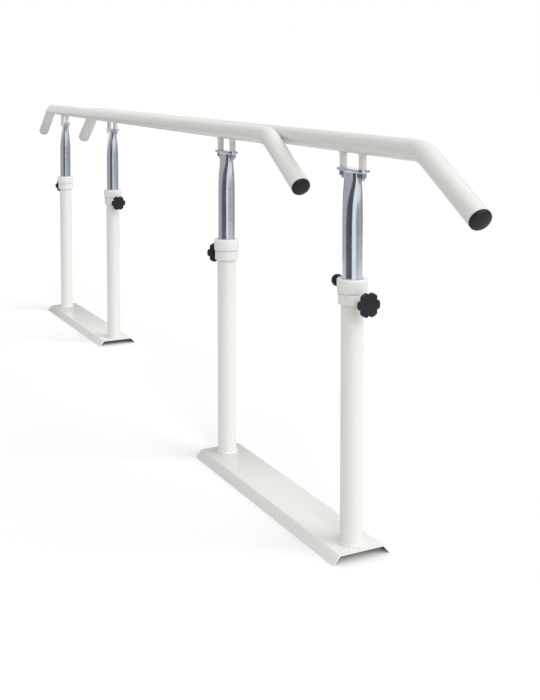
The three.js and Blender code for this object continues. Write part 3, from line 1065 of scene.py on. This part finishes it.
@dataclass
class InnerUpright(SharedSizes):
    """Sliding zinc tube with its squeezed top, and the strap welded on it."""

    foot: float = 250 * MM
    radius: float = 22.5 * MM
    wall: float = 2 * MM
    squeeze: float = 125 * MM
    flat: float = 12 * MM
    half_width: float = 12 * MM
    early_share: float = 0.35
    late_power: int = 4
    parting: float = 12
    stations: int = 36
    seam_size: float = 2.2 * MM
    seam_root: float = 0.4 * MM
    seam_angles: tuple[float, ...] = (0.0, 0.5, 1.0, math.pi / 2)
    strap_half_width: float = 15 * MM
    stud_hole: float = 5.5 * MM
    pin_hole: float = 5.3 * MM

    def build(self, shop: Workshop, upright: Upright) -> None:
        """Makes the tube, the strap and the seam between them for one upright.

        Args:
            shop: What dresses the pieces.
            upright: Which upright it is.
        """
        node = f"{upright.name}_inner_tube"
        tube = self.tube()
        if upright.name == "near_right":
            hole = cross_rod(self.pin_hole, 0, self.radius * CUTTER_REACH, self.plunger_height)
            tube = carved(tube, turned(hole, -math.pi / 2), Cut.AWAY)
        shop.piece(f"{node}_pressed", upright.under_rail(tube), Slot.ZINC, node)
        shop.piece(f"{node}_strap", upright.under_rail(self.strap_plate()), Slot.ZINC, node)
        shop.piece(f"{node}_seam", upright.under_rail(self.seam()), Slot.ZINC, node)

    def half_width_at(self, height: float) -> float:
        """Finds how far the tube is pressed in: a little early on, and most of it late.

        Args:
            height: Where on the tube.

        Returns:
            Half of its outer width across the rail.
        """
        share = (height - (self.strap_bottom - self.squeeze)) / (self.squeeze - self.flat)
        eased = (1 - math.cos(math.pi * min(max(share, 0), 1))) / 2
        pressed = self.early_share * eased + (1 - self.early_share) * eased ** self.late_power
        return self.radius + (self.half_width - self.radius) * pressed

    def press(self, bm: BMesh) -> None:
        """Squeezes round rings to ovals of the same girth, with the long side along X.

        Args:
            bm: The mesh to change, about the tube's axis.
        """
        for vert in bm.verts:
            place = vert.co
            distance = place.xy.length
            depth = self.radius - distance
            half = self.half_width_at(place.z) - depth
            straight = math.pi / 2 * (self.radius - half - depth)
            across, along = place.y / distance, place.x / distance
            side = max(-1.0, min(1.0, along * self.parting))
            vert.co = (half * along + side * straight, half * across, place.z)

    def tube(self) -> BMesh:
        """Makes the tube from its foot to the strap.

        Returns:
            The tube about its axis.
        """
        start = self.strap_bottom - self.squeeze
        end = self.strap_bottom - self.flat
        heights = [start + (end - start) * i / self.stations for i in range(self.stations + 1)]
        levels = [self.foot, *heights, self.strap_bottom]
        bore = self.radius - self.wall
        outline = [(self.radius, z) for z in levels] + [(bore, z) for z in reversed(levels)]
        bm = spun(outline, PRESSED_SIDES)
        self.press(bm)
        return tidy(bm)

    def strap_plate(self) -> BMesh:
        """Makes the round-ended strap with a hole for each stud.

        Returns:
            The strap over the tube's axis.
        """
        thickness = self.strap_top - self.strap_bottom
        bm = bmesh.new()
        bmesh.ops.create_circle(bm, cap_ends=True, segments=SMALL_SIDES, radius=self.strap_half_width)
        turned(bm, math.pi / SMALL_SIDES)
        for vert in bm.verts:
            vert.co.x += math.copysign(self.post_offset, vert.co.x)
        lifted = bmesh.ops.extrude_face_region(bm, geom=bm.faces[:])["geom"]
        bmesh.ops.translate(bm, verts=[v for v in lifted if isinstance(v, BMVert)], vec=(0, 0, thickness))
        soften(moved(tidy(bm), z=self.strap_bottom), width=0.6 * MM, angle=60)
        for end in (-1, 1):
            hole = rod(self.stud_hole, self.strap_bottom - thickness, self.strap_top + thickness)
            bm = carved(bm, moved(hole, end * self.post_offset), Cut.AWAY)
        return bm

    def seam(self) -> BMesh:
        """Makes the low weld bead round the squeezed top, under the strap.

        Returns:
            The bead about the tube's axis.
        """
        size, top = self.seam_size, self.strap_bottom
        inside = self.radius - self.seam_root
        arc = [(self.radius + size * math.sin(a), top - size * math.cos(a)) for a in self.seam_angles]
        bm = spun([(inside, top), (inside, top - size), *arc], PRESSED_SIDES)
        self.press(bm)
        return tidy(bm)


@dataclass
class Fasteners(SharedSizes):
    """Washer, nut and stud under each post of a strap."""

    washer_radius: float = 10 * MM
    washer: float = 2 * MM
    flats: float = 17 * MM
    nut: float = 10 * MM
    nut_chamfer: float = math.radians(30)
    lens_share: float = 1.05
    standout: float = 6 * MM

    def build(self, shop: Workshop, upright: Upright) -> None:
        """Makes both washers and both nuts of one upright.

        Args:
            shop: What dresses the pieces.
            upright: Which upright it is.
        """
        outwards = math.copysign(1, upright.x)
        for place, direction in (("outer", outwards), ("inner", -outwards)):
            shift = direction * self.post_offset
            washer = upright.under_rail(moved(self.washer_ring(), shift))
            shop.piece(f"{upright.name}_washer_{place}", washer, Slot.ZINC)
            nut = upright.under_rail(moved(self.nut_body(), shift))
            shop.piece(f"{upright.name}_nut_{place}", nut, Slot.ZINC)

    def washer_ring(self) -> BMesh:
        """Makes a flat washer with softened rims.

        Returns:
            The washer about its own axis.
        """
        low = self.strap_bottom - self.washer
        flat = ring(self.thread_hole, self.washer_radius, low, self.strap_bottom, SMALL_SIDES)
        return soften(flat, width=0.3 * MM)

    def nut_body(self) -> BMesh:
        """Makes a hexagon with both faces chamfered, and its bore.

        Returns:
            The nut about its own axis.
        """
        high = self.strap_bottom - self.washer
        low = high - self.nut
        corner = self.flats / math.sqrt(3)
        hexagon = bmesh.new()
        bmesh.ops.create_cone(
            hexagon, cap_ends=True, segments=6, radius1=corner, radius2=corner, depth=self.nut)
        moved(hexagon, z=(low + high) / 2)
        inner, outer = self.flats / 2, corner * self.lens_share
        drop = (outer - inner) * math.tan(self.nut_chamfer)
        lens = spun([
            (0, low), (inner, low), (outer, low + drop), (outer, high - drop), (inner, high), (0, high)],
            SMALL_SIDES)
        body = carved(hexagon, lens, Cut.SHARED)
        return carved(body, rod(self.thread_hole, low - MM, high + MM), Cut.AWAY)

    def stud(self) -> BMesh:
        """Makes the threaded end that stands out below the nut, about the post's axis."""
        low = self.strap_bottom - self.washer - self.nut - self.standout
        return self.threaded(low, self.strap_top)


@dataclass
class Handrail(SharedSizes):
    """Bent tube with four welded posts, their studs, and a domed plug in each end.

    The axis's height is read from the frame, so that the tube's top is the CAD tube's.
    """

    fasteners: Fasteners = field(default_factory=Fasteners)
    height: float = field(init=False)
    length: float = 3000 * MM
    radius: float = 22.5 * MM
    wall: float = 2 * MM
    drop: float = 108 * MM
    slope: float = math.radians(30)
    bend: float = 110 * MM
    bend_steps: int = 14
    post_spacing: float = 2040 * MM
    post_radius: float = 8.5 * MM
    post_chamfer: float = 0.5 * MM
    post_sink: float = 0.7
    flare: float = 4.5 * MM
    flare_height: float = 7 * MM
    flare_steps: int = 8
    plug_gap: float = 0.3 * MM
    plug_play: float = 0.5 * MM
    plug_rim: float = 3 * MM
    plug_dome: float = 11.5 * MM
    plug_spigot: float = 25 * MM
    dome_steps: int = 12

    def build(self, shop: Workshop, side: str, near: Upright) -> None:
        """Makes one rail with its posts, studs and plugs.

        Args:
            shop: What dresses the pieces.
            side: Which rail it is, right or left.
            near: The near upright under it.
        """
        x, y = near.x - self.post_spacing / 2, near.y
        node = f"{side}_rail"
        self.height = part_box(node)[1].z - self.radius
        # The rail tube and its posts take the darker copy of the coat, as painted shade.
        shop.piece(f"{node}_tube", moved(self.tube(), x, y), Slot.PAINT, node, shop.shaded_rail_coat)
        places = [
            across * self.post_spacing / 2 + along * self.post_offset
            for across in (-1, 1) for along in (-1, 1)]
        posts = gathered(moved(self.post(), place) for place in places)
        shop.piece(f"{node}_posts", moved(posts, x, y), Slot.PAINT, node, shop.shaded_rail_coat)
        studs = gathered(moved(self.fasteners.stud(), place) for place in places)
        shop.piece(f"{node}_studs", moved(studs, x, y), Slot.ZINC, node)
        for end, turn in (("near", 0.0), ("far", math.pi)):
            plug = turned(self.plug(), self.slope, "Y")
            moved(plug, self.length / 2, z=self.height - self.drop)
            shop.piece(f"{end}_{side}_end_plug", moved(turned(plug, turn), x, y), Slot.BLACK)

    def tube(self) -> BMesh:
        """Makes the bent tube, from its middle out to one end and mirrored.

        Returns:
            The tube, with its middle over the origin.
        """
        corner = self.length / 2 - self.drop / math.tan(self.slope)
        bend_start = corner - self.bend * math.tan(self.slope / 2)
        bend_end = corner + self.bend * math.tan(self.slope / 2) * math.cos(self.slope)
        leg = (self.length / 2 - bend_end) / math.cos(self.slope)
        bm = bmesh.new()
        bmesh.ops.create_circle(bm, cap_ends=False, segments=TUBE_SIDES, radius=self.radius)
        moved(along_x(bm), z=self.height)
        edges = drawn_out(bm, bm.edges[:], (bend_start, 0, 0))
        verts = list(dict.fromkeys(v for e in edges for v in e.verts))
        bent = bmesh.ops.spin(
            bm, geom=verts + edges, cent=(bend_start, 0, self.height - self.bend), axis=(0, 1, 0),
            dvec=(0, 0, 0), angle=self.slope, steps=self.bend_steps, use_merge=False,
            use_duplicate=False)
        last = [e for e in bent["geom_last"] if isinstance(e, BMEdge)]
        drawn_out(bm, last, leg * Vector((math.cos(self.slope), 0, -math.sin(self.slope))))
        bmesh.ops.mirror(
            bm, geom=bm.verts[:] + bm.edges[:] + bm.faces[:], merge_dist=MERGE_DISTANCE, axis="X")
        face_up(tidy(bm))
        bmesh.ops.solidify(bm, geom=bm.faces[:], thickness=self.wall)
        return soften(bm, width=0.4 * MM, angle=60)

    def post(self) -> BMesh:
        """Makes the post on the strap, with its weld flared to the rail's round underside.

        Returns:
            The post about its own axis.
        """
        foot = self.strap_top
        under = self.height - self.radius
        start = under - self.flare_height
        angles = [math.pi / 2 * i / self.flare_steps for i in range(self.flare_steps + 1)]
        curve = [
            (self.post_radius + self.flare * (1 - math.cos(a)), start + self.flare_height * math.sin(a))
            for a in angles]
        top = under + self.wall * self.post_sink
        bm = spun([
            (0, foot), (self.post_radius - self.post_chamfer, foot),
            (self.post_radius, foot + self.post_chamfer), *curve,
            (self.post_radius + self.flare, top), (0, top)], SMALL_SIDES)
        for vert in bm.verts:
            share = min(max((vert.co.z - start) / self.flare_height, 0), 1)
            vert.co.z += share * (self.radius - math.sqrt(self.radius ** 2 - vert.co.y ** 2))
        return bm

    def plug(self) -> BMesh:
        """Makes the domed plug along +X, its head against the rail's cut end at x = 0.

        Returns:
            The plug about X.
        """
        spigot = self.radius - self.wall - self.plug_play
        rise = self.plug_dome - self.plug_rim
        angles = [math.pi / 2 * i / self.dome_steps for i in range(self.dome_steps)]
        dome = [(self.radius * math.cos(a), self.plug_rim + rise * math.sin(a)) for a in angles]
        profile = [
            (0, -self.plug_spigot), (spigot, -self.plug_spigot), (spigot, self.plug_gap),
            (self.radius, self.plug_gap), *dome, (0, self.plug_dome)]
        return along_x(soften(spun(profile), width=0.4 * MM, angle=70))


@dataclass
class Clamp(SharedSizes):
    """Star knob, its threaded screw and the pad that it presses on the inner tube.

    Each ring of the knob's back and face is how far it lies inside the outline, the share of the
    notches that is left, and the share of the edge or crown that it has risen.
    """

    hub: float = 11 * MM
    hub_start: float = 48.1 * MM
    hub_end: float = 62.1 * MM
    end: float = 72.6 * MM
    star: float = 27.5 * MM
    notch: float = 5 * MM
    lobe_flat: float = 0.54
    rounding: float = 0.3 * MM
    lobes: int = 6
    steps_per_lobe: int = 32
    edge: float = 2.2 * MM
    crown: float = 3.5 * MM
    back: tuple[tuple[float, float, float], ...] = ((2.2 * MM, 1, 0), (0.66 * MM, 1, 0.3), (0, 1, 1))
    face: tuple[tuple[float, float, float], ...] = (
        (0, 1, 0), (0.66 * MM, 1, 0.22), (2.2 * MM, 1, 0.42), (7 * MM, 0.75, 0.66),
        (12 * MM, 0.3, 0.86), (18 * MM, 0, 1))
    screw_start: float = 26.6 * MM
    screw_end: float = 67.1 * MM
    screw_gap: float = 0.3 * MM

    def build(self, shop: Workshop, upright: Upright) -> None:
        """Makes the knob and screw of one upright, and dresses its pad.

        Args:
            shop: What dresses the pieces.
            upright: Which upright it is.
        """
        screw = self.threaded(self.screw_start, self.screw_end)
        for name, bm, slot in (("knob", self.star_knob(), Slot.BLACK), ("screw", screw, Slot.ZINC)):
            placed = upright.facing_out(moved(along_x(bm), z=self.clamp_height))
            shop.piece(f"{upright.name}_clamp_{name}", placed, slot)
        shop.dress_node(f"{upright.name}_pressure_pad", Slot.BRASS)

    def larger(self, one: float, other: float) -> float:
        """The larger of two lengths, rounded where they are about equal."""
        gap = abs(one - other) / self.rounding
        return max(one, other) + self.rounding * math.log1p(math.exp(-gap))

    def outline(self, turn: float, inset: float, fade: float) -> float:
        """Finds the star's outline: flat lobes, sloping sides and flat notches.

        Args:
            turn: Angle about the axis, in radians.
            inset: How far inside the full outline.
            fade: Share of the notches' depth that is left.

        Returns:
            Its distance from the axis.
        """
        share = abs((turn * self.lobes / (2 * math.pi) + 0.5) % 1 - 0.5) * 2
        slope = self.star - self.notch * (share - self.lobe_flat) / (1 - self.lobe_flat)
        capped = -self.larger(-self.star, -slope)
        edge = self.larger(capped, self.star - self.notch)
        return self.star - inset - (self.star - edge) * fade

    def star_knob(self) -> BMesh:
        """Makes the star disc with rounded rims and a crowned face, on a round hub.

        Returns:
            The knob about Z, with its bore.
        """
        front = self.end - self.crown
        rings = [(inset, fade, self.hub_end + self.edge * rise) for inset, fade, rise in self.back]
        rings += [(inset, fade, front + self.crown * rise) for inset, fade, rise in self.face]
        bm = bmesh.new()
        count = self.lobes * self.steps_per_lobe
        bmesh.ops.create_circle(bm, cap_ends=True, segments=count, radius=self.star)
        face_up(bm)
        face = bm.faces[:][0]
        for index, (inset, fade, height) in enumerate(rings):
            if index:
                face = bmesh.ops.extrude_discrete_faces(bm, faces=[face])["faces"][0]
            for vert in face.verts:
                turn = math.atan2(vert.co.y, vert.co.x)
                radius = self.outline(turn, inset, fade)
                vert.co = (radius * math.cos(turn), radius * math.sin(turn), height)
        bmesh.ops.holes_fill(bm, edges=[e for e in bm.edges if e.is_boundary], sides=0)
        tidy(bm)
        hub = rod(self.hub, self.hub_start, self.hub_end + self.edge)
        whole = carved(bm, soften(hub, width=0.8 * MM, segments=3), Cut.TOGETHER)
        hole = rod(self.thread_hole, self.hub_start - MM, self.screw_end + self.screw_gap)
        return turned(carved(whole, hole, Cut.AWAY), math.pi / self.lobes)


@dataclass
class Plunger(SharedSizes):
    """Sprung pin in the near right upright: body, pin, round knob and spring, along -X.

    The knob's barrel is given as shares of its radius and of its length.
    """

    cavity: float = 5.4 * MM
    thread: float = 7.5 * MM
    head: float = 10 * MM
    start: float = 23.9 * MM
    head_start: float = 34.7 * MM
    head_end: float = 52.7 * MM
    lid: float = 3 * MM
    stem_hole: float = 3.3 * MM
    stem_end: float = 65.2 * MM
    knob_start: float = 56.7 * MM
    knob: float = 15 * MM
    knob_radius: float = 14 * MM
    barrel: tuple[tuple[float, float], ...] = (
        (0.6, 0.0), (0.82, 0.06), (0.93, 0.17), (0.985, 0.32), (1.0, 0.46), (0.985, 0.62),
        (0.93, 0.77), (0.8, 0.89), (0.6, 0.955), (0.3, 0.99))
    gap: float = 0.3 * MM
    spring_start: float = 28.3 * MM
    spring_radius: float = 4.2 * MM
    wire: float = 0.5 * MM
    wire_sides: int = 8
    turns: int = 5
    steps_per_turn: int = 24
    pull: float = 5 * MM

    def build(self, shop: Workshop, upright: Upright) -> None:
        """Makes the body, the knob and the spring, and dresses the pin.

        Args:
            shop: What dresses the pieces.
            upright: The upright that it is in.
        """
        lid = self.head_end - self.lid
        body = spun([
            (self.cavity, self.start), (self.thread, self.start), (self.thread, self.head_start),
            (self.head, self.head_start), (self.head, self.head_end), (self.stem_hole, self.head_end),
            (self.stem_hole, lid), (self.cavity, lid)], SMALL_SIDES)
        body = self.placed(soften(body, width=0.5 * MM, angle=60), upright)
        shop.piece("plunger_body", body, Slot.ZINC)
        shop.piece("plunger_knob", self.placed(self.round_knob(), upright), Slot.BLACK)
        shop.dress_node("plunger_pin", Slot.ZINC)
        seat = lid - self.gap
        coil = self.placed(self.coil(seat), upright)
        spring = shop.piece("plunger_spring_coil", coil, Slot.SPRING, "plunger_spring")
        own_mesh(spring)

    def placed(self, bm: BMesh, upright: Upright) -> BMesh:
        """Lays a shape along -X from the upright's axis, at the plunger's height."""
        return upright.facing_out(moved(turned(along_x(bm), math.pi), z=self.plunger_height))

    def coil(self, seat: float) -> BMesh:
        """Winds one wire about Z, from the pin's collar to its seat under the lid.

        Args:
            seat: Where the spring ends.

        Returns:
            The closed wire.
        """
        start, end = self.spring_start + self.wire, seat - self.wire
        steps = self.turns * self.steps_per_turn
        slant = math.atan2(end - start, 2 * math.pi * self.turns * self.spring_radius)
        bm = bmesh.new()
        bmesh.ops.create_circle(bm, cap_ends=False, segments=self.wire_sides, radius=self.wire)
        moved(turned(bm, slant - math.pi / 2, "X"), x=self.spring_radius, z=start)
        bmesh.ops.spin(
            bm, geom=bm.verts[:] + bm.edges[:], cent=(0, 0, 0), axis=(0, 0, 1),
            dvec=(0, 0, (end - start) / steps), angle=2 * math.pi * self.turns, steps=steps,
            use_merge=False, use_duplicate=False)
        bmesh.ops.holes_fill(bm, edges=[e for e in bm.edges if e.is_boundary], sides=0)
        return tidy(bm)

    def round_knob(self) -> BMesh:
        """Makes the round knob with a soft barrel outline and its bore.

        Returns:
            The knob about Z.
        """
        outside = [
            (self.knob_radius * wide, self.knob_start + self.knob * along) for wide, along in self.barrel]
        bottom = self.stem_end + self.gap
        return spun([
            (0, bottom), (self.stem_hole, bottom), (self.stem_hole, self.knob_start), *outside,
            (0, self.knob_start + self.knob)], SMALL_SIDES)


# Studio


@dataclass(frozen=True)
class Sun:
    """Wide soft light from far off: where it stands and how wide it looks, in degrees."""

    name: str
    azimuth: float
    elevation: float
    width: float
    power: float


@dataclass(frozen=True)
class Card:
    """Upright card between two points of the floor, with the brightness that gloss shows."""

    name: str
    start: tuple[float, float]
    end: tuple[float, float]
    level: float
    height: float = 3.5


@dataclass
class Studio:
    """Plain pale floor, white surround, soft lights and the photograph's camera."""

    camera_place: tuple[float, float, float] = (3.3805, -1.0398, 1.0381)
    camera_turn: float = 0.403
    camera_pitch: float = math.radians(3)
    lens: float = 54.52
    sensor: float = 36
    shift_up: float = -0.3058
    view_end: float = 200
    fill: float = 0.77
    floor_size: float = 60.0
    floor_lit: Colour = (0.62, 0.62, 0.62, 1)
    floor_seen: Colour = (0.88, 0.88, 0.88, 1)
    floor_glow: float = 0.04
    suns: tuple[Sun, ...] = (Sun("key_light", 45, 34, 44, 1.35), Sun("front_light", -8, 30, 22, 0.75))
    cards: tuple[Card, ...] = (
        Card("dark_card", (1.26, -2.34), (3.25, -1.2), 0.1),
        Card("dim_card", (-0.1, -3.12), (1.26, -2.34), 0.24),
        Card("left_card", (-2.4, -0.6), (-0.3, -3.1), 0.5),
        Card("right_card", (5.2, 0.5), (3.4, 3.4), 0.4),
        Card("side_card", (3.3, 3.5), (-2.6, 3.9), 0.42),
        Card("back_card", (-2.6, 3.9), (-2.4, -0.6), 0.4, 0.7))

    def build(self) -> None:
        """Makes the whole set, for the plain view transform."""
        bpy.context.scene.view_settings.view_transform = "Standard"
        self.camera()
        self.world()
        self.floor()
        self.lights()
        self.reflected_cards()

    def camera(self) -> None:
        """Makes the camera, with its sensor shifted down as in the photograph."""
        data = bpy.data.cameras.new("photo_camera")
        data.lens = self.lens
        data.sensor_width = self.sensor
        data.shift_y = self.shift_up
        data.clip_end = self.view_end
        thing = linked("photo_camera", data)
        turn, flat = self.camera_turn, math.cos(self.camera_pitch)
        ahead = Vector((-math.cos(turn) * flat, math.sin(turn) * flat, -math.sin(self.camera_pitch)))
        thing.location = self.camera_place
        thing.rotation_mode = "QUATERNION"
        thing.rotation_quaternion = ahead.to_track_quat("-Z", "Y")
        bpy.context.scene.camera = thing

    def seen_directly(self, graph: Graph) -> NodeSocket:
        """Finds the rays that show the surround: camera, glossy and transmission.

        Args:
            graph: The graph that asks.

        Returns:
            One for those rays, and nought for the others.
        """
        rays = graph.add("ShaderNodeLightPath").outputs
        seen = graph.maths("ADD", rays["Is Camera Ray"], rays["Is Glossy Ray"])
        return graph.maths("ADD", seen, rays["Is Transmission Ray"], clamp=True)

    def world(self) -> None:
        """Makes the white surround, which fills the shadows at a lower strength."""
        world = bpy.data.worlds.new("white_surround")
        world.use_nodes = True
        graph = Graph(world.node_tree)
        strength = graph.spread(self.seen_directly(graph), (0, 1), (self.fill, 1.0))
        graph.feed(world.node_tree.nodes["Background"], {"Color": (1, 1, 1, 1), "Strength": strength})
        bpy.context.scene.world = world

    def floor(self) -> None:
        """Makes the pale floor, which goes to white where nothing shades it."""
        bm = bmesh.new()
        bmesh.ops.create_grid(bm, x_segments=1, y_segments=1, size=self.floor_size)
        mesh = meshed("floor", bm)
        thing = linked("floor", mesh)
        material, graph, shader = new_material("pale_floor")
        seen = self.seen_directly(graph)
        graph.feed(shader, {
            "Base Color": graph.mix(seen, self.floor_lit, self.floor_seen),
            "Roughness": 0.9,
            "Specular IOR Level": 0.0,
            "Emission Color": (1, 1, 1, 1),
            "Emission Strength": graph.maths("MULTIPLY", seen, self.floor_glow)})
        mesh.materials.append(material)

    def lights(self) -> None:
        """Adds the wide soft lights."""
        for sun in self.suns:
            data = bpy.data.lights.new(sun.name, "SUN")
            data.angle = math.radians(sun.width)
            data.energy = sun.power
            thing = linked(sun.name, data)
            turn, rise = math.radians(sun.azimuth), math.radians(sun.elevation)
            flat = math.cos(rise)
            away = Vector((math.cos(turn) * flat, math.sin(turn) * flat, math.sin(rise)))
            thing.rotation_mode = "QUATERNION"
            thing.rotation_quaternion = away.to_track_quat("Z", "Y")

    def reflected_cards(self) -> None:
        """Stands the cards on the floor, where only reflections show them."""
        for card in self.cards:
            bm = bmesh.new()
            foot = [bm.verts.new((*place, 0)) for place in (card.start, card.end)]
            drawn_out(bm, [bm.edges.new(foot)], (0, 0, card.height))
            mesh = meshed(card.name, bm)
            material, graph, shader = new_material(card.name)
            graph.feed(shader, {
                "Base Color": (0, 0, 0, 1), "Specular IOR Level": 0.0,
                "Emission Color": (1, 1, 1, 1), "Emission Strength": card.level})
            mesh.materials.append(material)
            thing = linked(card.name, mesh)
            for kind in ("camera", "diffuse", "transmission", "volume_scatter", "shadow"):
                setattr(thing, f"visible_{kind}", False)


def main() -> None:
    """Builds the studio and every sub-assembly."""
    logging.basicConfig(level=logging.INFO, format="%(message)s")
    Studio().build()
    shop = Workshop()
    uprights = find_uprights()
    for end in ("near", "far"):
        BasePlate().build(shop, end, uprights[f"{end}_right"], uprights[f"{end}_left"])
    fasteners = Fasteners()
    for upright in uprights.values():
        for assembly in (OuterUpright(), TubeHead(), InnerUpright(), fasteners, Clamp()):
            assembly.build(shop, upright)
        shop.dress_node(f"{upright.name}_glide_sleeve", Slot.BLACK)
    for side in ("right", "left"):
        Handrail(fasteners=fasteners).build(shop, side, uprights[f"near_{side}"])
    Plunger().build(shop, uprights["near_right"])


if __name__ == "__main__":
    main()
